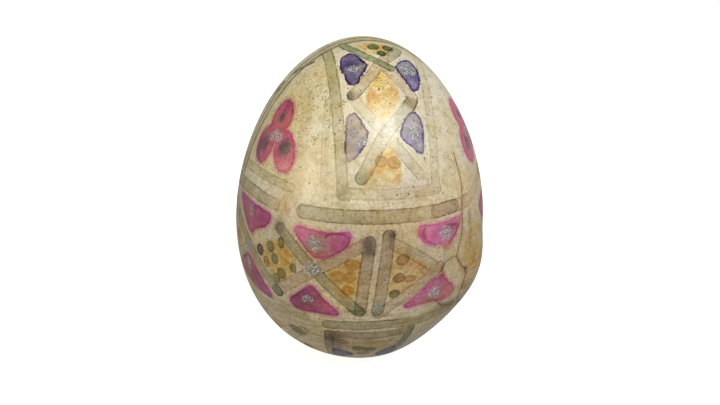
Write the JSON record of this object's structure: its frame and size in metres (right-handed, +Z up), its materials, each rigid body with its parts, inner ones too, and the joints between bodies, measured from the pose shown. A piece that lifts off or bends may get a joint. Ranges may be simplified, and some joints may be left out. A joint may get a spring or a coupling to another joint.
{
  "type": "easter egg",
  "caption": "Painted hen's egg with a cracked, slightly crushed lower side, standing on a small flat spot at its blunt end.",
  "frame": {"origin": "middle of the small flat spot at the blunt end, on which the egg stands", "axes": "+Z up along the egg's long axis towards the pointed end, -Y out of the painted front"},
  "size_m": [0.0438, 0.0436, 0.0565],
  "materials": {
    "painted_eggshell": "satin"
  },
  "bodies": {
    "root": {"egg": "painted_eggshell"}
  },
  "joints": []
}
